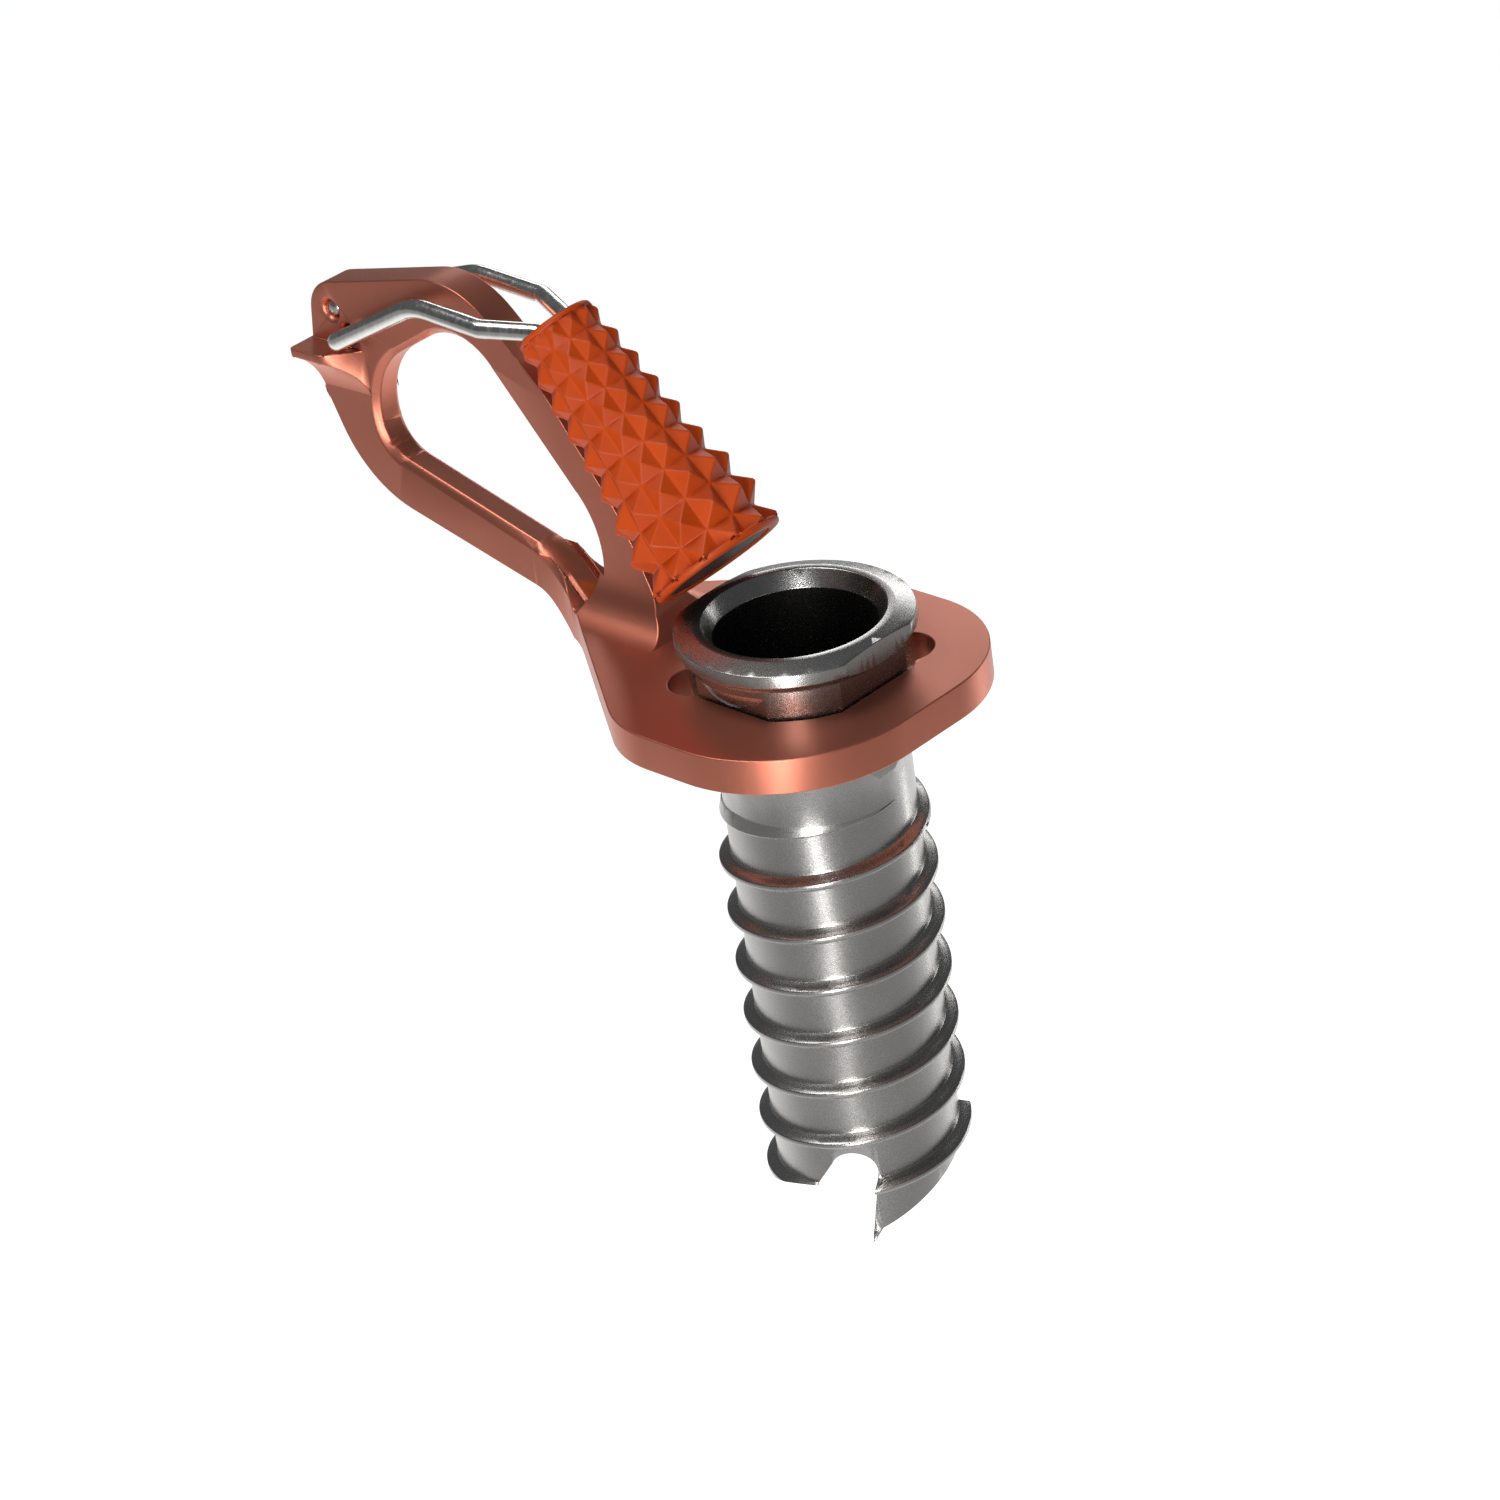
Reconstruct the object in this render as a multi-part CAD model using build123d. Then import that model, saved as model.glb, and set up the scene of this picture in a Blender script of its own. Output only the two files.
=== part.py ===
from build123d import *
import math
import os

# Ice screw with a folding crank. Millimetres, +Z up along the screw axis.
# Origin: centre of the flange's top face. The hanger arm points along -X.

# Screw tube
CREST_RADIUS = 10.5
ROOT_RADIUS = 9.3
BORE_RADIUS = 7.95
TIP_Z = -65.0
FLANGE_RADIUS = 11.56
FLANGE_RIM_RADIUS = 9.62
FLANGE_BEVEL_Z = -0.54
FLANGE_WALL_Z = -1.79
FLANGE_BASE_Z = -2.73
FLANGE_FLAT = 10.6
BORE_CHAMFER_RADIUS = 8.89
BORE_CHAMFER_DEPTH = 1.63
DRIVE_HALF = 9.5
SHOULDER_TOP_Z = -3.47
SHOULDER_LOW_Z = -5.93
NECK_CONE_TOP_Z = -8.9
NECK_CONE_LOW_Z = -16.4

# Thread
THREAD_PITCH = 5.926
THREAD_CREST_AZIMUTH = 227.5    # a crest passes z = THREAD_CREST_Z here
THREAD_CREST_Z = -25.23
TIP_TURN = -7                   # thread turns, counted from that crest
TEETH_TURN = -5
NECK_TURN = 1.8
THREAD_CREST_WIDTH = 0.5
UPPER_FLANK = 0.55              # axial run of each flank
LOWER_FLANK = 1.05
THREAD_SINK = 0.35              # overlap of the ridge into the tube wall
RUNOUT_LOW_Z = -22.8            # full depth below, fading out above
RUNOUT_HIGH_Z = -17.4

# Cutting teeth
TOOTH_COUNT = 3
TOOTH_TIP_AZIMUTH = -49.2
RELIEF_SLOPE = 0.458            # rise of the relief face per millimetre
RELIEF_FROM_TIP = 109.2         # azimuth of steepest rise, counted from the tooth tip
GULLET_FROM_TIP = -10.8

# Hanger
PLATE = 3.62
HALF_PLATE = PLATE / 2
RING_TOP_Z = -5.56
RING_LOW_Z = RING_TOP_Z - PLATE
HOLE_HALF = 9.7
HOLE_CORNER_RADIUS = 10.87
RELIEF_HOLE_RADIUS = 2.9
RELIEF_HOLE_X = 6.5
RELIEF_HOLE_Y = 7.4
FLANGE_CLEARANCE_RADIUS = 12.7
FOLD_RADIUS = 4.3
EYE_CHAMFER = 0.7
EDGE_ROUND = 0.4
LEDGE_TOP_Z = 16.05
LEDGE_LEFT_X = -62.2
LEDGE_RIM = 0.9
LEDGE_HALF_WIDTH = 4.95
LEDGE_ROOT_Z = 10.0

# Crank wire and its pivots
WIRE_RADIUS = 0.92
PIVOT_HOLE_RADIUS = 1.0
PIVOT_X = -56.07
PIVOT_Z = 17.48
REAR_PIVOT_X = -58.3
REAR_PIVOT_Z = 19.7
LEG_Y = 4.3
KNEE_X = -42.1
KNEE_Z = 24.55
KNEE_BEND = 8.0
SHOULDER_X = -32.97
SHOULDER_Z = 24.05
TIGHT_BEND = 1.6
PIN_REACH = 1.4                 # how far each pivot pin passes the arm's middle plane
REAR_STUB = 2.4                 # rear leg length that stays with the hanger
FLEX_LENGTH = 8.6               # distance from the rear pivot to the crank's rear leg

# Knob, distances measured along its own axis from the small end
KNOB_START_X = -27.16
KNOB_START_Z = 24.13
KNOB_AXIS = (0.650, 0, -0.760)
KNOB_SIDE = (0.760, 0, 0.650)
KNOB_LENGTH = 27.9
STUDS_AROUND = 12
FIRST_RING = 2.73
RING_GROWTH = 1.04
STUD_RADII = (4.38, 4.78, 5.13, 5.38, 5.68, 6.05, 6.74, 7.40, 7.33)
STUD_HEIGHT_START = 0.8
STUD_HEIGHT_END = 1.55
SMALL_LIP_RADIUS = 4.0
WIDE_LIP_RADIUS = 7.0
LIP_LENGTH = 0.7
LIP_CHAMFER = 0.25
INNER_LEG_Y = 1.73
INNER_LEG_END = 22.5
BUSH_START = 1.2
BUSH_END = 26.0
BUSH_RADIUS = 2.95
BUSH_HEAD_RADIUS = 3.25
BUSH_HEAD_END = 4.0
RUNNING_GAP = 0.08
MOULD_GAP = 0.02
CORE_START = 4.2
CORE_END = 27.0
CORE_RADIUS_START = 3.55
CORE_RADIUS_END = 4.9
WASHER_THICKNESS = 0.8
WASHER_RADIUS = 4.15
COUNTERBORE_RADIUS = 4.35
COUNTERBORE_START = 25.9
CAP_RADIUS = 5.6

KNOB_PLANE = Plane(origin=(KNOB_START_X, 0, KNOB_START_Z), x_dir=KNOB_SIDE, z_dir=KNOB_AXIS)

os.makedirs("parts", exist_ok=True)


def polar(radius, degrees, z=0.0):
    """Point at a radius and azimuth about the Z axis."""
    angle = math.radians(degrees)
    return Vector(radius * math.cos(angle), radius * math.sin(angle), z)


def outline(corners):
    """Flat face from (x, y, corner radius) points."""
    face = Face(Wire.make_polygon([Vector(x, y, 0) for x, y, _ in corners], close=True))
    for x, y, radius in corners:
        if radius > 0:
            nearest = min(face.vertices(), key=lambda vertex: (Vector(*vertex) - Vector(x, y, 0)).length)
            face = face.fillet_2d(radius, [nearest])
    return face


def slab(corners, low, high):
    """Prism along Z between two heights."""
    return Pos(0, 0, low) * extrude(outline(corners), high - low, dir=(0, 0, 1))


def side_slab(corners, half_width):
    """Prism across Y from an outline drawn in X and Z."""
    return Rot(90, 0, 0) * slab(corners, -half_width, half_width)


def revolved(profile):
    """Solid of revolution about Z from (radius, z) points."""
    face = Face(Wire.make_polygon([Vector(r, 0, z) for r, z in profile], close=True))
    return revolve(face, Axis.Z, 360)


def tube_between(low, high, outer, inner):
    """Plain ring between two heights."""
    return revolved([(inner, low), (outer, low), (outer, high), (inner, high)])


# ---------------------------------------------------------------- screw tube

def screw_blank():
    """Turned blank with the flange, the square neck and the bore."""
    blank = revolved([
        (BORE_CHAMFER_RADIUS, 0), (FLANGE_RIM_RADIUS, 0), (FLANGE_RADIUS, FLANGE_BEVEL_Z),
        (FLANGE_RADIUS, FLANGE_WALL_Z), (CREST_RADIUS, FLANGE_BASE_Z), (CREST_RADIUS, NECK_CONE_TOP_Z),
        (ROOT_RADIUS, NECK_CONE_LOW_Z), (ROOT_RADIUS, TIP_Z - 1), (BORE_RADIUS, TIP_Z - 1),
        (BORE_RADIUS, -BORE_CHAMFER_DEPTH),
    ])
    neck_height = FLANGE_BASE_Z - NECK_CONE_LOW_Z
    square = Box(2 * DRIVE_HALF, 2 * DRIVE_HALF, neck_height)
    around = Pos(0, 0, (FLANGE_BASE_Z + NECK_CONE_LOW_Z) / 2) * (Box(40, 40, neck_height) - square)
    flange = Box(2 * FLANGE_FLAT, 40, -FLANGE_BASE_Z)
    beside = Pos(0, 0, FLANGE_BASE_Z / 2) * (Box(40, 40, -FLANGE_BASE_Z) - flange)
    shoulder = revolved([
        (BORE_RADIUS, FLANGE_BASE_Z), (CREST_RADIUS, FLANGE_BASE_Z), (CREST_RADIUS, SHOULDER_TOP_Z),
        (ROOT_RADIUS, SHOULDER_LOW_Z), (BORE_RADIUS, SHOULDER_LOW_Z),
    ])
    return blank - around - beside + (shoulder & Box(2 * DRIVE_HALF, 40, 40))


def thread_ridge(low_turn, high_turn):
    """Right-hand thread with a thin crest, between two turn counts."""
    low = THREAD_CREST_Z + low_turn * THREAD_PITCH
    height = (high_turn - low_turn) * THREAD_PITCH
    crest = THREAD_CREST_WIDTH / 2
    profile = [
        (ROOT_RADIUS - THREAD_SINK, -crest - LOWER_FLANK), (CREST_RADIUS, -crest),
        (CREST_RADIUS, crest), (ROOT_RADIUS - THREAD_SINK, crest + UPPER_FLANK),
    ]
    start = Rot(0, 0, THREAD_CREST_AZIMUTH + 360 * low_turn)
    helices = [
        Pos(0, 0, low + z) * start * Edge.make_helix(THREAD_PITCH, height, radius) for radius, z in profile
    ]
    flanks = [Face.make_surface_from_curves(helices[i - 1], helices[i]) for i in range(4)]
    ends = [
        Face(Wire.make_polygon([helix.position_at(t) for helix in helices], close=True)) for t in (0, 1)
    ]
    return Solid(Shell(flanks + ends))


def thread_fade():
    """Envelope that lets the thread run out towards the neck."""
    return revolved([
        (0, TIP_Z), (CREST_RADIUS + 1, TIP_Z), (CREST_RADIUS + 1, RUNOUT_LOW_Z),
        (CREST_RADIUS, RUNOUT_LOW_Z), (ROOT_RADIUS - THREAD_SINK / 2, RUNOUT_HIGH_Z), (0, RUNOUT_HIGH_Z),
    ])


def tooth_relief(tip):
    """Waste below the sloping end face of one tooth, inside its own third."""
    span = 360 / TOOTH_COUNT
    fan = [Vector(0, 0, 0)] + [polar(30, tip + span * step / 6) for step in range(7)]
    sector = Pos(0, 0, TIP_Z - 10) * extrude(Face(Wire.make_polygon(fan, close=True)), 40, dir=(0, 0, 1))
    steepest = tip + RELIEF_FROM_TIP
    rise = polar(1, steepest)
    centre_z = TIP_Z - RELIEF_SLOPE * ROOT_RADIUS * math.cos(math.radians(RELIEF_FROM_TIP))
    normal = Vector(-RELIEF_SLOPE * rise.X, -RELIEF_SLOPE * rise.Y, 1)
    plane = Plane(origin=(0, 0, centre_z), x_dir=(-rise.Y, rise.X, 0), z_dir=normal)
    return sector & (plane * Pos(0, 0, -20) * Box(80, 80, 40))


def tooth_gullet(tip):
    """Round-topped chip gullet in front of one tooth, cut radially."""
    azimuth = tip + GULLET_FROM_TIP
    radial = polar(1, azimuth)
    across = polar(1, azimuth + 90)

    def spot(side, z):
        return Vector(across.X * side, across.Y * side, z)

    edges = [
        Edge.make_line(spot(1.74, TIP_Z - 6), spot(1.74, TIP_Z)),
        Edge.make_line(spot(1.74, TIP_Z), spot(2.9, -58.3)),
        Edge.make_three_point_arc(spot(2.9, -58.3), spot(0.55, -55.35), spot(-1.45, -56.7)),
        Edge.make_line(spot(-1.45, -56.7), spot(-3.2, -59.3)),
        Edge.make_three_point_arc(spot(-3.2, -59.3), spot(-3.95, -60.2), spot(-4.9, -60.5)),
        Edge.make_line(spot(-4.9, -60.5), spot(-4.9, TIP_Z - 6)),
        Edge.make_line(spot(-4.9, TIP_Z - 6), spot(1.74, TIP_Z - 6)),
    ]
    return extrude(Face(Wire(edges)), 20, dir=(radial.X, radial.Y, 0))


def cut_teeth(body):
    """Reliefs and gullets of all the teeth."""
    tips = [TOOTH_TIP_AZIMUTH + 360 / TOOTH_COUNT * index for index in range(TOOTH_COUNT)]
    for tip in tips:
        body = body - tooth_relief(tip)
    for tip in tips:
        body = body - tooth_gullet(tip)
    return body


def screw_tube():
    lower_thread = cut_teeth(thread_ridge(TIP_TURN, TEETH_TURN))
    upper_thread = thread_ridge(TEETH_TURN, NECK_TURN) & thread_fade()
    return cut_teeth(screw_blank()) + lower_thread + upper_thread


# -------------------------------------------------------------------- hanger

ARM = [
    (-14.5, RING_LOW_Z, 0), (-28.7, RING_LOW_Z, 0), (-32.8, -5.5, 6.0), (-57.5, 0.6, 12.5),
    (-61.4, 10.2, 0), (LEDGE_LEFT_X, 14.9, 0), (-60.9, 22.2, 4.1), (-38.7, 27.1, 10.3), (-28.2, 17.1, 10.0),
    (-20.1, 5.5, 21.1), (-16.5, -3.6, 0), (-14.5, RING_TOP_Z, 0),
]
EYE = [
    (-39.3, 22.4, 6.7), (-54.4, 13.9, 9.3), (-53.9, 5.2, 4.0), (-31.0, -1.1, 8.7),
    (-26.8, -6.0, 0.8), (-22.4, 1.9, 9.0),
]
RING = [
    (16.0, -17.95, 14.5), (16.0, 16.8, 12.5), (-7.1, 16.8, 11.0), (-29.3, HALF_PLATE, 14.0),
    (-38.0, HALF_PLATE, 0), (-38.0, -HALF_PLATE, 0), (-29.3, -HALF_PLATE, 14.0), (-7.4, -17.95, 11.0),
]


def ledge():
    """Two-sided stop under the wire legs, flaring out of the arm's left edge."""
    rim = LEDGE_TOP_Z - LEDGE_RIM

    def spot(y, z):
        return Vector(LEDGE_LEFT_X, y, z)

    section = [Edge.make_line(spot(LEDGE_HALF_WIDTH, LEDGE_TOP_Z), spot(-LEDGE_HALF_WIDTH, LEDGE_TOP_Z))]
    for sign in (-1, 1):
        outer = sign * LEDGE_HALF_WIDTH
        root = sign * (HALF_PLATE - 0.1)
        section.append(Edge.make_line(spot(outer, LEDGE_TOP_Z), spot(outer, rim)))
        section.append(Edge.make_three_point_arc(
            spot(outer, rim), spot(sign * (HALF_PLATE + 0.8), 13.1), spot(root, LEDGE_ROOT_Z)))
    section.append(Edge.make_line(spot(-HALF_PLATE + 0.1, LEDGE_ROOT_Z), spot(HALF_PLATE - 0.1, LEDGE_ROOT_Z)))
    flare = extrude(Face(Wire(section)), 12, dir=(1, 0, 0))
    inside = LEDGE_LEFT_X + 8.0
    plan = [
        (LEDGE_LEFT_X, -LEDGE_HALF_WIDTH, 0.5), (-57.6, -LEDGE_HALF_WIDTH, 1.8),
        (inside, -HALF_PLATE + 0.1, 0), (inside, HALF_PLATE - 0.1, 0),
        (-57.6, LEDGE_HALF_WIDTH, 1.8), (LEDGE_LEFT_X, LEDGE_HALF_WIDTH, 0.5),
    ]
    profile = [
        (LEDGE_LEFT_X, LEDGE_TOP_Z, 0), (LEDGE_LEFT_X, 14.9, 0), (-61.4, LEDGE_ROOT_Z, 0),
        (inside, LEDGE_ROOT_Z, 0), (inside, LEDGE_TOP_Z, 0),
    ]
    return flare & slab(plan, 0, 30) & side_slab(profile, 10)


def root_fillets():
    """Concave blends between the ring plate's top and both arm faces."""
    solids = []
    for sign in (-1, 1):
        low = Vector(-12, sign * (HALF_PLATE + FOLD_RADIUS), RING_TOP_Z)
        high = Vector(-12, sign * HALF_PLATE, RING_TOP_Z + FOLD_RADIUS)
        inner_low = Vector(-12, 0, RING_TOP_Z)
        inner_high = Vector(-12, 0, RING_TOP_Z + FOLD_RADIUS)
        bend = FOLD_RADIUS * (1 - math.sqrt(0.5))
        middle = Vector(-12, sign * (HALF_PLATE + bend), RING_TOP_Z + bend)
        section = Wire([
            Edge.make_three_point_arc(low, middle, high), Edge.make_line(high, inner_high),
            Edge.make_line(inner_high, inner_low), Edge.make_line(inner_low, low),
        ])
        solids.append(extrude(Face(section), 26, dir=(-1, 0, 0)))
    return solids[0] + solids[1]


def eye_cutter():
    """Eye opening with a chamfer at both faces of the arm."""
    cutter = side_slab(EYE, 20)
    mouth = outline(EYE)
    for sign in (-1, 1):
        wide = offset(mouth, EYE_CHAMFER)
        narrow = Pos(0, 0, -sign * EYE_CHAMFER) * mouth
        bevel = loft([Pos(0, 0, sign * HALF_PLATE) * wide, Pos(0, 0, sign * HALF_PLATE) * narrow])
        cutter += Rot(90, 0, 0) * bevel
    return cutter


def drive_hole():
    """Square drive hole with rounded corners and two corner reliefs."""
    square = Box(2 * HOLE_HALF, 2 * HOLE_HALF, 20) & Cylinder(HOLE_CORNER_RADIUS, 20)
    for sign in (-1, 1):
        square += Pos(sign * RELIEF_HOLE_X, sign * RELIEF_HOLE_Y, 0) * Cylinder(RELIEF_HOLE_RADIUS, 20)
    return Pos(0, 0, (RING_TOP_Z + RING_LOW_Z) / 2) * square


def pivot_hole(x, z):
    """Hole across the arm with a small flare at each mouth."""
    flare = 0.35
    half = revolved([
        (0, 0), (PIVOT_HOLE_RADIUS, 0), (PIVOT_HOLE_RADIUS, HALF_PLATE - flare),
        (PIVOT_HOLE_RADIUS + 2 * flare, HALF_PLATE + flare), (0, HALF_PLATE + flare),
    ])
    return Pos(x, 0, z) * (Rot(90, 0, 0) * half + Rot(-90, 0, 0) * half)


def hanger():
    arm = side_slab(ARM, HALF_PLATE)
    ring = slab(RING, RING_LOW_Z, RING_TOP_Z)
    blends = root_fillets() & slab(RING, RING_TOP_Z, RING_TOP_Z + FOLD_RADIUS)
    under_arm = side_slab(ARM, 25)
    outside_arm = Pos(-20 + 30, 0, RING_LOW_Z) * Box(60, 60, 40)
    ring = ring & (under_arm + outside_arm)
    blends = blends & under_arm
    clearance = Pos(0, 0, RING_TOP_Z + 20) * Cylinder(FLANGE_CLEARANCE_RADIUS, 40)
    body = arm + ring + (blends - clearance) + ledge()
    body = body - eye_cutter() - drive_hole()
    return body - pivot_hole(PIVOT_X, PIVOT_Z) - pivot_hole(REAR_PIVOT_X, REAR_PIVOT_Z)


# --------------------------------------------------------------- wire pieces

def wire_along(points, bends):
    """Round wire through the points, with a bend radius at each inner one."""
    edges = []
    start = points[0]
    for before, corner, after, bend in zip(points, points[1:], points[2:], bends):
        back = (before - corner).normalized()
        ahead = (after - corner).normalized()
        half = math.radians(back.get_angle(ahead)) / 2
        trim = bend / math.tan(half)
        inwards = (back + ahead).normalized()
        first = corner + back * trim
        last = corner + ahead * trim
        middle = corner + inwards * (bend / math.sin(half) - bend)
        edges.append(Edge.make_line(start, first))
        edges.append(Edge.make_three_point_arc(first, middle, last))
        start = last
    edges.append(Edge.make_line(start, points[-1]))
    section = Plane(origin=points[0], z_dir=points[1] - points[0]) * Circle(WIRE_RADIUS)
    return sweep(section, path=Wire(edges))


def knob_point(side, along):
    """Point inside the knob, by its Y offset and its distance from the small end."""
    centre = KNOB_PLANE.from_local_coords(Vector(0, 0, along))
    return Vector(centre.X, side, centre.Z)


def rear_leg_point(distance):
    """Point on the rear leg's line, by its distance from the rear pivot."""
    pivot = Vector(REAR_PIVOT_X, LEG_Y, REAR_PIVOT_Z)
    knee = Vector(KNEE_X, LEG_Y, KNEE_Z)
    return pivot + (knee - pivot).normalized() * distance


def crank_wire():
    points = [
        Vector(PIVOT_X, PIN_REACH, PIVOT_Z), Vector(PIVOT_X, -LEG_Y, PIVOT_Z),
        Vector(KNEE_X, -LEG_Y, KNEE_Z), Vector(SHOULDER_X, -LEG_Y, SHOULDER_Z),
        knob_point(-INNER_LEG_Y, 0.4), knob_point(-INNER_LEG_Y, INNER_LEG_END + INNER_LEG_Y),
        knob_point(INNER_LEG_Y, INNER_LEG_END + INNER_LEG_Y), knob_point(INNER_LEG_Y, 0.4),
        Vector(SHOULDER_X, LEG_Y, SHOULDER_Z), Vector(KNEE_X, LEG_Y, KNEE_Z),
        rear_leg_point(FLEX_LENGTH),
    ]
    turn = INNER_LEG_Y - 0.01
    bends = [TIGHT_BEND, KNEE_BEND, TIGHT_BEND, TIGHT_BEND, turn, turn, TIGHT_BEND, TIGHT_BEND, KNEE_BEND]
    return wire_along(points, bends)


def rear_wire_end():
    points = [
        Vector(REAR_PIVOT_X, -PIN_REACH, REAR_PIVOT_Z), Vector(REAR_PIVOT_X, LEG_Y, REAR_PIVOT_Z),
        rear_leg_point(REAR_STUB),
    ]
    return wire_along(points, [TIGHT_BEND])


# ---------------------------------------------------------------------- knob

def spindle_bush(wire):
    """Bush moulded round the wire's two inner legs; the knob turns on it."""
    body = tube_between(BUSH_START, BUSH_HEAD_END, BUSH_HEAD_RADIUS, 0)
    body += tube_between(BUSH_HEAD_END, BUSH_END, BUSH_RADIUS, 0)
    return KNOB_PLANE * body - wire


def retaining_washer():
    low = BUSH_END
    return KNOB_PLANE * Pos(0, 0, low + WASHER_THICKNESS / 2) * Cylinder(WASHER_RADIUS, WASHER_THICKNESS)


def knob_core():
    """Hard sleeve with a counterbore for the washer."""
    bore = BUSH_RADIUS + RUNNING_GAP
    body = revolved([
        (bore, CORE_START), (CORE_RADIUS_START, CORE_START), (CORE_RADIUS_END, CORE_END),
        (COUNTERBORE_RADIUS, CORE_END), (COUNTERBORE_RADIUS, COUNTERBORE_START), (bore, COUNTERBORE_START),
    ])
    return KNOB_PLANE * body


def ring_edges():
    """Distances of the valleys between the rings of studs."""
    edges = [0.0]
    for index in range(len(STUD_RADII)):
        edges.append(edges[-1] + FIRST_RING * RING_GROWTH ** index)
    return edges


def valley_radii(edges):
    """Radius of each valley, below the mean of the stud tips beside it."""
    before = (STUD_RADII[0],) + STUD_RADII
    after = STUD_RADII + (STUD_RADII[-1],)
    growth = (STUD_HEIGHT_END - STUD_HEIGHT_START) / KNOB_LENGTH
    return [
        (left + right) / 2 - STUD_HEIGHT_START - growth * along
        for left, right, along in zip(before, after, edges)
    ]


def studded_body():
    """Closed body of rings of four-sided studs, with a round lip at each end."""
    edges = ring_edges()
    valleys = valley_radii(edges)
    step = 360 / STUDS_AROUND
    faces = []
    for index, tip_radius in enumerate(STUD_RADII):
        low, high = edges[index], edges[index + 1]
        low_radius, high_radius = valleys[index], valleys[index + 1]
        for near in range(0, 360, round(step)):
            corners = [
                polar(low_radius, near, low), polar(low_radius, near + step, low),
                polar(high_radius, near + step, high), polar(high_radius, near, high),
            ]
            tip = polar(tip_radius, near + step / 2, (low + high) / 2)
            for corner in range(4):
                triangle = Wire.make_polygon([corners[corner - 1], corners[corner], tip], close=True)
                faces.append(Face(triangle))
    for along, radius in ((edges[0], valleys[0]), (edges[-1], valleys[-1])):
        rim = [polar(radius, stud * step, along) for stud in range(STUDS_AROUND)]
        faces.append(Face(Wire.make_polygon(rim, close=True)))
    small_lip = revolved([
        (0, 0), (SMALL_LIP_RADIUS - LIP_CHAMFER, 0), (SMALL_LIP_RADIUS, LIP_CHAMFER),
        (SMALL_LIP_RADIUS, LIP_LENGTH), (0, LIP_LENGTH),
    ])
    wide_lip = revolved([
        (0, KNOB_LENGTH - LIP_LENGTH), (WIDE_LIP_RADIUS, KNOB_LENGTH - LIP_LENGTH),
        (WIDE_LIP_RADIUS, KNOB_LENGTH - LIP_CHAMFER), (WIDE_LIP_RADIUS - LIP_CHAMFER, KNOB_LENGTH),
        (0, KNOB_LENGTH),
    ])
    return Solid(Shell(faces)) + small_lip + wide_lip


def knob_grip():
    """Rubber sleeve over the core."""
    mouth = BUSH_HEAD_RADIUS + RUNNING_GAP
    hollow = revolved([
        (0, -1), (mouth, -1), (mouth, CORE_START), (CORE_RADIUS_START, CORE_START),
        (CORE_RADIUS_END, CORE_END), (CAP_RADIUS, CORE_END), (CAP_RADIUS, KNOB_LENGTH + 3),
        (0, KNOB_LENGTH + 3),
    ])
    trim = tube_between(KNOB_LENGTH, KNOB_LENGTH + 3, 20, 0)
    return KNOB_PLANE * (studded_body() - hollow - trim)


def end_cap():
    """Disc pressed into the grip's wide end."""
    cap = tube_between(CORE_END, KNOB_LENGTH - 0.15, CAP_RADIUS, 0)
    return KNOB_PLANE * cap


wire = crank_wire()
pieces = {
    "screw_tube": screw_tube(),
    "hanger": hanger(),
    "crank_wire": wire,
    "rear_wire_end": rear_wire_end(),
    "spindle_bush": spindle_bush(wire),
    "retaining_washer": retaining_washer(),
    "knob_core": knob_core(),
    "knob_grip": knob_grip(),
    "end_cap": end_cap(),
}
for name, solid in pieces.items():
    export_step(solid, f"parts/{name}.step")
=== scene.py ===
import math

import bmesh
import bpy
from mathutils import Matrix, Vector


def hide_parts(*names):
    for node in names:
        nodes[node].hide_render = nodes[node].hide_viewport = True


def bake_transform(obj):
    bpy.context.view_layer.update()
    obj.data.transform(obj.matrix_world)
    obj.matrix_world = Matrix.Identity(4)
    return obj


# Crank wire, as in the CAD model
WIRE_RADIUS = 0.00092
WIRE_BEND = 0.0016
LEG_Y = 0.0043
REAR_PIVOT = Vector((-0.0583, 0, 0.0197))
KNEE = Vector((-0.0421, 0, 0.02455))

# Rear leg: distances from the rear pivot
PIN_OFFSETS = (-0.0009, 0.0005, 0.0018)
BEND_STEPS = 8
LEG_STEP = 0.0005
LEG_STEPS = 15
FLEX_START = 0.0022
FLEX_END = 0.0086

# Domed tube ends: places along the dome, and its height over its radius
DOME_STEPS = (0.92, 0.7, 0.38)
DOME_HEIGHT = 0.8

# Part of the bore where the steel is painted darker as painted shade inside the tube
BORE_SHADE_RADIUS = 0.0083
BORE_SHADE_TOP = -0.0017

# Camera
CAMERA_AZIMUTH = 47.5
CAMERA_ELEVATION = 29.088
CAMERA_ROLL = 8.694
CAMERA_LENS = 108.54
CAMERA_DISTANCE = 0.42410
CAMERA_SHIFT = (0.00408, 0.01293)
CAMERA_CLIP = (0.01, 20)

# Floor: a painted pool of light, pale within the first radius, greyer beyond the second; the
# floor also glows
FLOOR_SIZE = 12
FLOOR_Z = -0.30
LIT_POOL_CENTRE = (-0.46, 0.43, FLOOR_Z)
LIT_POOL_RADII = (0.54, 0.85)
SUN_ANGLE = 25
LIGHT_CENTRE = Vector((-0.015, 0, -0.01))

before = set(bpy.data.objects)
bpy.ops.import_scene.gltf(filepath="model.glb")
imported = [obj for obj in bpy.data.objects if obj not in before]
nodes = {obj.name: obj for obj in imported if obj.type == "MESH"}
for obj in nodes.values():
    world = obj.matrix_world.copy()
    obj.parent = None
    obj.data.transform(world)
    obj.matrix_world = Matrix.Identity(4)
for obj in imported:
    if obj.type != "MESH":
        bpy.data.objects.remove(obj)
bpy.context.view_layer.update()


# ---------------------------------------------------------------- materials

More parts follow.
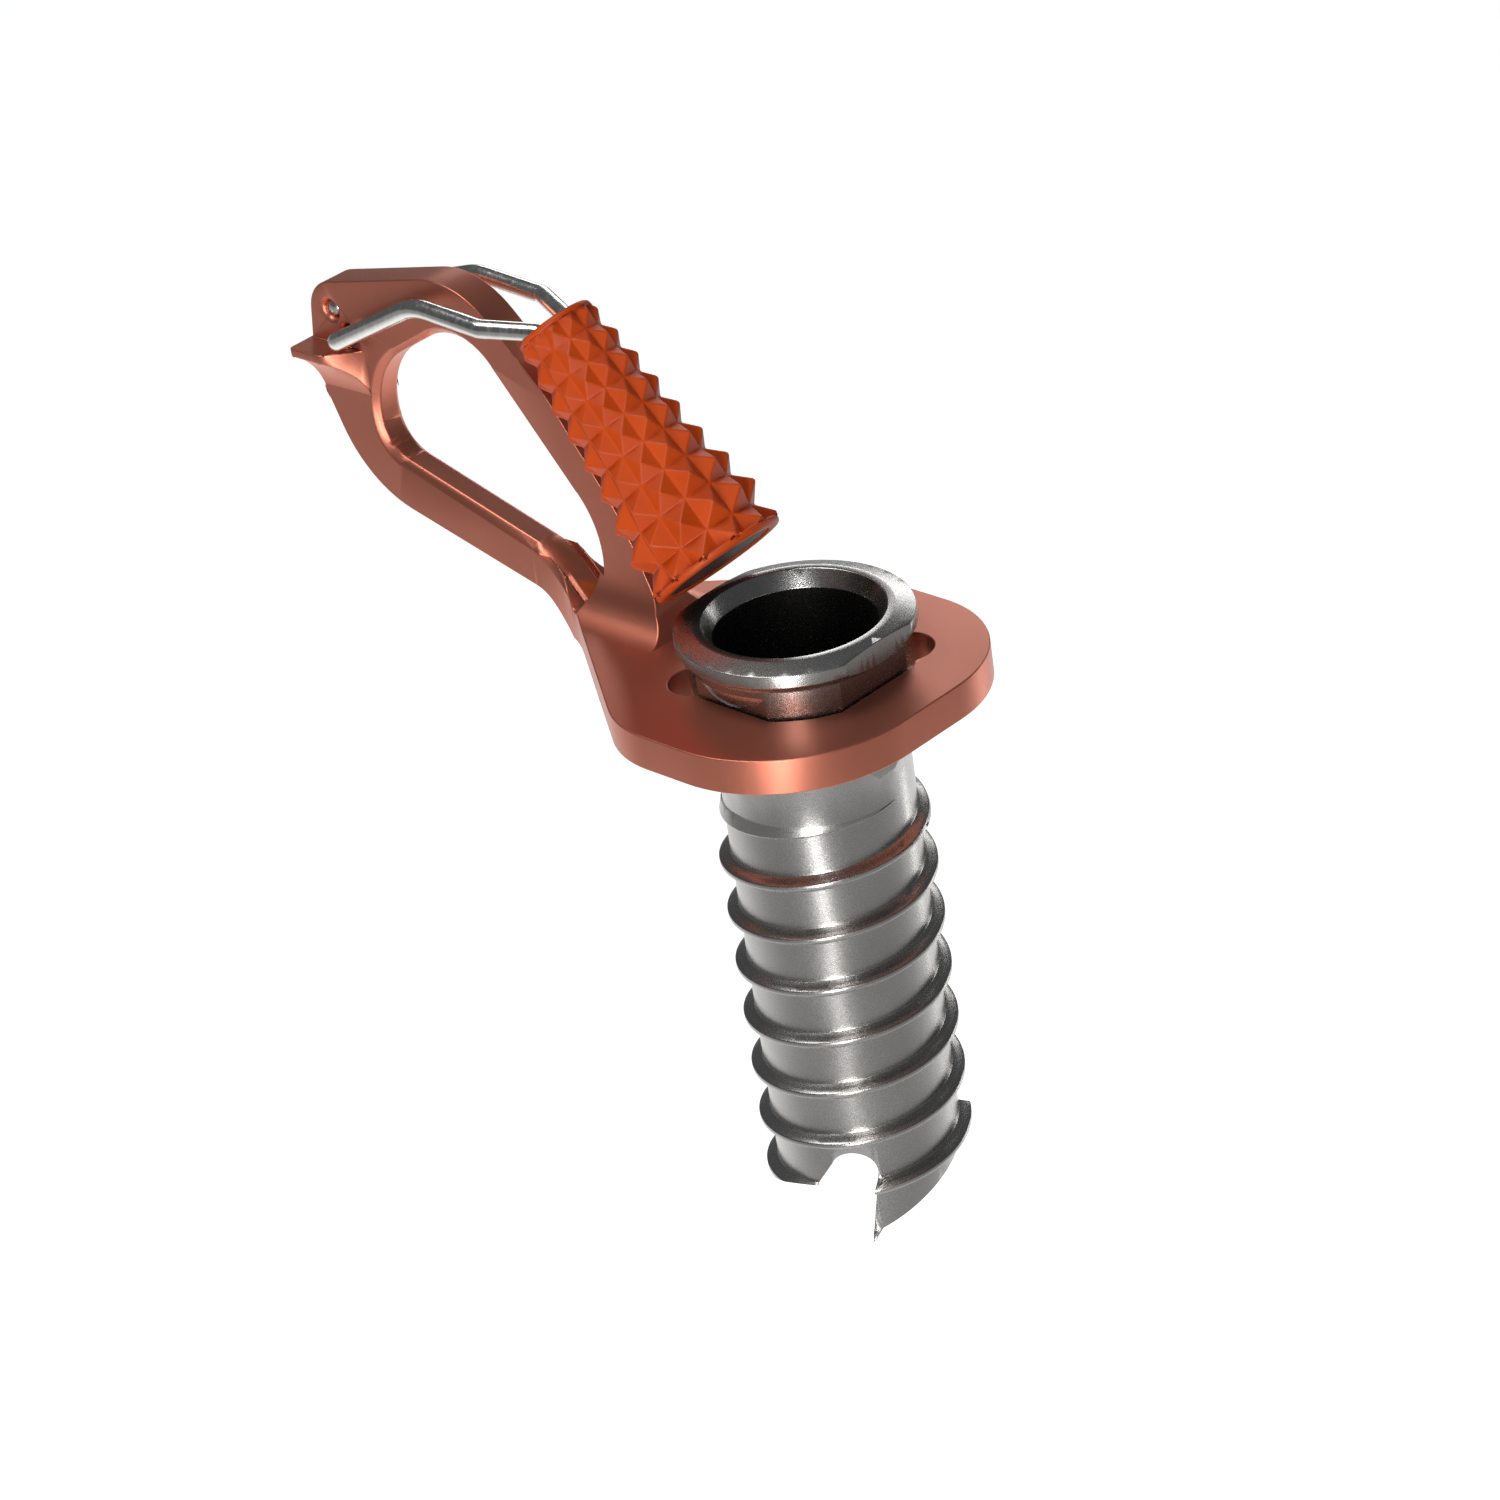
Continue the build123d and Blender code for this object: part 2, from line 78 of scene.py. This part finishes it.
class Graph:
    """Small helper for building one node material."""

    def __init__(self, name):
        self.material = bpy.data.materials.new(name)
        self.material.use_nodes = True
        self.tree = self.material.node_tree
        self.shader = self.tree.nodes["Principled BSDF"]
        self.coords = self.tree.nodes.new("ShaderNodeTexCoord").outputs["Object"]

    def set(self, **values):
        for key, value in values.items():
            socket = self.shader.inputs[key.replace("_", " ")]
            socket.default_value = value

    def link(self, output, socket):
        self.tree.links.new(output, self.shader.inputs[socket])

    def noise(self, scale, detail, stretch=None):
        node = self.tree.nodes.new("ShaderNodeTexNoise")
        node.inputs["Scale"].default_value = scale
        node.inputs["Detail"].default_value = detail
        source = self.coords
        if stretch:
            mapping = self.tree.nodes.new("ShaderNodeMapping")
            mapping.inputs["Scale"].default_value = stretch
            self.tree.links.new(source, mapping.inputs["Vector"])
            source = mapping.outputs["Vector"]
        self.tree.links.new(source, node.inputs["Vector"])
        return node.outputs["Fac"]

    def spread(self, output, low, high, start=0.3, end=0.7):
        """Map the range start to end onto low to high."""
        node = self.tree.nodes.new("ShaderNodeMapRange")
        node.inputs["From Min"].default_value = start
        node.inputs["From Max"].default_value = end
        node.inputs["To Min"].default_value = low
        node.inputs["To Max"].default_value = high
        self.tree.links.new(output, node.inputs["Value"])
        return node.outputs["Result"]

    def mix(self, factor, first, second):
        """Blend two colours; each is a socket or an RGB triple."""
        node = self.tree.nodes.new("ShaderNodeMix")
        node.data_type = "RGBA"
        self.tree.links.new(factor, node.inputs["Factor"])
        for name, value in (("A", first), ("B", second)):
            socket = next(s for s in node.inputs if s.name == name and s.type == "RGBA")
            if hasattr(value, "links"):
                self.tree.links.new(value, socket)
            else:
                socket.default_value = (*value, 1)
        return next(s for s in node.outputs if s.type == "RGBA")

    def math(self, operation, first, second):
        """Result of a math node; each value is a socket or a number."""
        node = self.tree.nodes.new("ShaderNodeMath")
        node.operation = operation
        for index, value in enumerate((first, second)):
            if hasattr(value, "links"):
                self.tree.links.new(value, node.inputs[index])
            else:
                node.inputs[index].default_value = value
        return node.outputs["Value"]

    def inside_bore(self, radius, top):
        """1 within a radius of the Z axis and below a height, else 0."""
        split = self.tree.nodes.new("ShaderNodeSeparateXYZ")
        self.tree.links.new(self.coords, split.inputs["Vector"])
        x, y, z = split.outputs
        squares = self.math("ADD", self.math("MULTIPLY", x, x), self.math("MULTIPLY", y, y))
        near = self.math("LESS_THAN", squares, radius * radius)
        return self.math("MULTIPLY", near, self.math("LESS_THAN", z, top))

    def bump(self, output, strength, distance):
        node = self.tree.nodes.new("ShaderNodeBump")
        node.inputs["Strength"].default_value = strength
        node.inputs["Distance"].default_value = distance
        self.tree.links.new(output, node.inputs["Height"])
        self.link(node.outputs["Normal"], "Normal")

    def edges(self, low, high):
        """0 on open faces, 1 on convex edges."""
        pointiness = self.tree.nodes.new("ShaderNodeNewGeometry").outputs["Pointiness"]
        return self.spread(pointiness, 0.0, 1.0, low, high)


def steel_material():
    graph = Graph("blasted_steel")
    grain = graph.noise(9000, 4)
    cloud = graph.noise(120, 3)
    body = graph.mix(graph.spread(cloud, 0, 1), (0.35, 0.34, 0.325), (0.41, 0.40, 0.385))
    # painted shade: the steel is darkened inside the bore, where little light reaches
    bore_shade_mask = graph.inside_bore(BORE_SHADE_RADIUS, BORE_SHADE_TOP)
    graph.link(graph.mix(bore_shade_mask, body, (0.22, 0.21, 0.20)), "Base Color")
    graph.set(Metallic=1.0)
    graph.link(graph.spread(grain, 0.22, 0.33), "Roughness")
    graph.bump(grain, 0.25, 0.00003)
    return graph.material


def anodised_material():
    graph = Graph("orange_anodised")
    grain = graph.noise(7000, 4)
    cloud = graph.noise(90, 3)
    body = graph.mix(graph.spread(cloud, 0, 1), (0.50, 0.165, 0.105), (0.55, 0.185, 0.12))
    # painted highlight: convex edges brightened to vivid orange, standing in for light
    # catching the edges
    painted_edge_highlight = graph.mix(graph.edges(0.54, 0.62), body, (0.90, 0.21, 0.07))
    graph.link(painted_edge_highlight, "Base Color")
    graph.set(Metallic=0.9)
    graph.link(graph.spread(grain, 0.34, 0.44), "Roughness")
    graph.bump(grain, 0.2, 0.00003)
    return graph.material


def wire_material():
    graph = Graph("spring_wire")
    drawn = graph.noise(2500, 3, (1, 1, 0.2))
    colour = graph.mix(graph.spread(drawn, 0, 1), (0.62, 0.61, 0.585), (0.74, 0.73, 0.70))
    graph.link(colour, "Base Color")
    graph.set(Metallic=1.0)
    graph.link(graph.spread(drawn, 0.16, 0.28), "Roughness")
    graph.bump(drawn, 0.08, 0.00002)
    return graph.material


def rubber_material():
    graph = Graph("orange_rubber")
    grain = graph.noise(6000, 4)
    cloud = graph.noise(150, 3)
    body = graph.mix(graph.spread(cloud, 0, 1), (0.42, 0.046, 0.003), (0.50, 0.060, 0.004))
    # painted highlight: convex stud edges lightened, standing in for light catching the ridges
    painted_edge_highlight = graph.mix(graph.edges(0.54, 0.66), body, (0.60, 0.11, 0.03))
    graph.link(painted_edge_highlight, "Base Color")
    graph.link(graph.spread(grain, 0.42, 0.54), "Roughness")
    graph.set(Specular_IOR_Level=0.25)
    graph.bump(grain, 0.15, 0.00003)
    return graph.material


def dark_plastic_material():
    graph = Graph("dark_plastic")
    grain = graph.noise(5000, 4)
    colour = graph.mix(graph.spread(grain, 0, 1), (0.012, 0.010, 0.010), (0.022, 0.018, 0.017))
    graph.link(colour, "Base Color")
    graph.link(graph.spread(grain, 0.45, 0.6), "Roughness")
    graph.bump(grain, 0.15, 0.00003)
    return graph.material


def washer_material():
    graph = Graph("washer_steel")
    brushed = graph.noise(4000, 3, (1, 0.15, 1))
    colour = graph.mix(graph.spread(brushed, 0, 1), (0.45, 0.45, 0.44), (0.55, 0.55, 0.54))
    graph.link(colour, "Base Color")
    graph.set(Metallic=1.0)
    graph.link(graph.spread(brushed, 0.28, 0.42), "Roughness")
    graph.bump(brushed, 0.1, 0.00002)
    return graph.material


def paint(obj, material):
    obj.data.materials.clear()
    obj.data.materials.append(material)


def soften(obj, width, angle, merge):
    """Weld the imported facets, round the sharp edges and keep the flats flat."""
    for polygon in obj.data.polygons:
        polygon.use_smooth = True
    for name in ("custom_normal", "sharp_edge", "sharp_face"):
        if name in obj.data.attributes:
            obj.data.attributes.remove(obj.data.attributes[name])
    weld = obj.modifiers.new("weld", "WELD")
    weld.merge_threshold = merge
    if width > 0:
        bevel = obj.modifiers.new("round", "BEVEL")
        bevel.width = width
        bevel.segments = 2
        bevel.limit_method = "ANGLE"
        bevel.angle_limit = math.radians(angle)
        bevel.use_clamp_overlap = False
        bevel.miter_outer = "MITER_ARC"
        weighted = obj.modifiers.new("flat_faces", "WEIGHTED_NORMAL")
        weighted.mode = "FACE_AREA"
        weighted.weight = 50
        weighted.keep_sharp = False


STEEL = steel_material()
ANODISED = anodised_material()
WIRE = wire_material()
RUBBER = rubber_material()
DARK = dark_plastic_material()
WASHER = washer_material()

# material, slot, bevel width, bevel angle, weld distance
FINISHES = {
    "screw_tube": (STEEL, "steel_tube", 0.00008, 12, 0.000002),
    "hanger": (ANODISED, "orange_anodised", 0.00014, 45, 0.00001),
    "crank_wire": (WIRE, "spring_wire", 0, 0, 0.000002),
    "rear_wire_end": (WIRE, "spring_wire", 0, 0, 0.000002),
    "spindle_bush": (DARK, "dark_plastic", 0, 0, 0.000002),
    "retaining_washer": (WASHER, "washer_steel", 0, 0, 0.000002),
    "knob_core": (DARK, "dark_plastic", 0, 0, 0.000002),
    "knob_grip": (RUBBER, "orange_rubber", 0.00016, 12, 0.000002),
    "end_cap": (DARK, "dark_plastic", 0.0002, 12, 0.000002),
}
for node, (material, slot_name, width, angle, merge) in FINISHES.items():
    soften(nodes[node], width, angle, merge)
    paint(nodes[node], material)


# --------------------------------------------------- rear leg of the crank

def tube_mesh(name, points, radius, sides=24):
    """Closed round tube through the points, with domed ends."""
    ends = (points[0] - points[1]).normalized(), (points[-1] - points[-2]).normalized()
    rings = []
    for step in DOME_STEPS:
        height = radius * DOME_HEIGHT * step
        rings.append((points[0] + ends[0] * height, radius * math.sqrt(1 - step ** 2)))
    rings += [(point, radius) for point in points]
    for step in reversed(DOME_STEPS):
        height = radius * DOME_HEIGHT * step
        rings.append((points[-1] + ends[1] * height, radius * math.sqrt(1 - step ** 2)))
    mesh = bmesh.new()
    side = ends[0].orthogonal().normalized()
    loops = []
    for index, (centre, size) in enumerate(rings):
        before = rings[max(index - 1, 0)][0]
        after = rings[min(index + 1, len(rings) - 1)][0]
        along = (after - before).normalized()
        side = (side - along * side.dot(along)).normalized()
        other = along.cross(side)
        loop = []
        for turn in range(sides):
            angle = 2 * math.pi * turn / sides
            offset = side * math.cos(angle) + other * math.sin(angle)
            loop.append(mesh.verts.new(centre + offset * size))
        loops.append(loop)
    for low, high in zip(loops, loops[1:]):
        for turn in range(sides):
            far = (turn + 1) % sides
            mesh.faces.new((low[turn], low[far], high[far], high[turn]))
    mesh.faces.new(list(reversed(loops[0])))
    mesh.faces.new(loops[-1])
    bmesh.ops.recalc_face_normals(mesh, faces=mesh.faces)
    data = bpy.data.meshes.new(name)
    mesh.to_mesh(data)
    mesh.free()
    for polygon in data.polygons:
        polygon.use_smooth = True
    obj = bpy.data.objects.new(name, data)
    bpy.context.scene.collection.objects.link(obj)
    return obj


def rear_leg_points():
    """Pin through the upper hole, elbow, and the leg up to the crank's own wire."""
    run = (KNEE - REAR_PIVOT).normalized()
    outward = Vector((0, 1, 0))
    corner = REAR_PIVOT + outward * LEG_Y
    points = [REAR_PIVOT + outward * y for y in PIN_OFFSETS]
    for step in range(BEND_STEPS + 1):
        angle = math.pi / 2 * step / BEND_STEPS
        before = WIRE_BEND * (1 - math.sin(angle))
        past = WIRE_BEND * (1 - math.cos(angle))
        points.append(corner - outward * before + run * past)
    for step in range(1, LEG_STEPS + 1):
        points.append(corner + run * (WIRE_BEND + LEG_STEP * step))
    return points, corner + run * FLEX_START, corner + run * FLEX_END


leg_points, leg_start, leg_end = rear_leg_points()
rear_leg = tube_mesh("rear_leg", leg_points, WIRE_RADIUS)
paint(rear_leg, WIRE)
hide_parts("rear_wire_end")
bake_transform(rear_leg)


# -------------------------------------------------------- floor and lights

def plane(name, size, z, material):
    data = bpy.data.meshes.new(name)
    half = size / 2
    corners = [(-half, -half, z), (half, -half, z), (half, half, z), (-half, half, z)]
    data.from_pydata(corners, [], [(0, 1, 2, 3)])
    obj = bpy.data.objects.new(name, data)
    obj.data.materials.append(material)
    bpy.context.scene.collection.objects.link(obj)
    return obj


def floor_material():
    """Painted pool of light: pale and glowing behind the object, falling off to grey around.
    """
    graph = Graph("floor_painted_light_pool")
    offset = graph.tree.nodes.new("ShaderNodeVectorMath")
    offset.operation = "DISTANCE"
    offset.inputs[1].default_value = LIT_POOL_CENTRE
    graph.tree.links.new(graph.coords, offset.inputs[0])
    lit_pool_falloff = graph.spread(offset.outputs["Value"], 0, 1, *LIT_POOL_RADII)
    graph.link(graph.mix(lit_pool_falloff, (0.95, 0.95, 0.95), (0.52, 0.52, 0.53)), "Base Color")
    # painted light: the floor glows through its emission, brightest inside the painted pool of
    # light
    graph.link(graph.mix(lit_pool_falloff, (1.0, 1.0, 1.0), (0.20, 0.20, 0.20)), "Emission Color")
    graph.set(Roughness=0.95, Specular_IOR_Level=0.1, Emission_Strength=0.62)
    return graph.material


def sun_light(location, target, strength):
    data = bpy.data.lights.new("sun", "SUN")
    data.energy = strength
    data.angle = math.radians(SUN_ANGLE)
    light = bpy.data.objects.new("sun", data)
    light.rotation_mode = "QUATERNION"
    light.rotation_quaternion = (Vector(target) - Vector(location)).to_track_quat("-Z", "Y")
    bpy.context.scene.collection.objects.link(light)


def area_light(name, location, target, size, power):
    data = bpy.data.lights.new(name, "AREA")
    data.shape = "RECTANGLE"
    data.size, data.size_y = size
    data.energy = power
    light = bpy.data.objects.new(name, data)
    light.visible_camera = False
    light.location = location
    light.rotation_mode = "QUATERNION"
    light.rotation_quaternion = (Vector(target) - Vector(location)).to_track_quat("-Z", "Y")
    bpy.context.scene.collection.objects.link(light)


def axes_of_view(azimuth, elevation, roll):
    """Right, up and back directions of a camera."""
    a, e, r = (math.radians(value) for value in (azimuth, elevation, roll))
    level = Vector((math.cos(a), math.sin(a), 0))
    back = Vector((math.sin(a) * math.cos(e), -math.cos(a) * math.cos(e), math.sin(e)))
    upright = back.cross(level)
    right = level * math.cos(r) - upright * math.sin(r)
    up = level * math.sin(r) + upright * math.cos(r)
    return right, up, back


RIGHT, UP, BACK = axes_of_view(CAMERA_AZIMUTH, CAMERA_ELEVATION, CAMERA_ROLL)


def around(side, height, depth):
    """Place given by offsets along the view's right, up and back directions."""
    return LIGHT_CENTRE + RIGHT * side + UP * height + BACK * depth


plane("floor", FLOOR_SIZE, FLOOR_Z, floor_material())
centre = (-0.015, 0, -0.015)
area_light("key", around(-0.25, 0.40, 0.20), centre, (0.22, 0.22), 0.75)
area_light("low_front", around(-0.05, -0.18, 0.30), (0, 0, -0.04), (0.035, 0.36), 1.3)
area_light("right_rim", around(0.40, 0.10, -0.20), centre, (0.05, 0.40), 0.30)
area_light("back_top", around(0.05, 0.40, -0.35), centre, (0.30, 0.12), 0.45)
sun_light(around(-0.4, 0.8, 0.5), centre, 0.9)

world = bpy.data.worlds.new("studio")
world.use_nodes = True
world.node_tree.nodes["Background"].inputs["Color"].default_value = (0.90, 0.94, 1.0, 1)
world.node_tree.nodes["Background"].inputs["Strength"].default_value = 0.11
bpy.context.scene.world = world
bpy.context.scene.view_settings.view_transform = "Standard"

camera_data = bpy.data.cameras.new("camera")
camera_data.lens = CAMERA_LENS
camera_data.sensor_width = 36
camera_data.clip_start, camera_data.clip_end = CAMERA_CLIP
camera = bpy.data.objects.new("camera", camera_data)
bpy.context.scene.collection.objects.link(camera)
place = BACK * CAMERA_DISTANCE - RIGHT * CAMERA_SHIFT[0] - UP * CAMERA_SHIFT[1]
rotation = Matrix((RIGHT, UP, BACK)).transposed().to_4x4()
camera.matrix_world = Matrix.Translation(place) @ rotation
bpy.context.scene.camera = camera
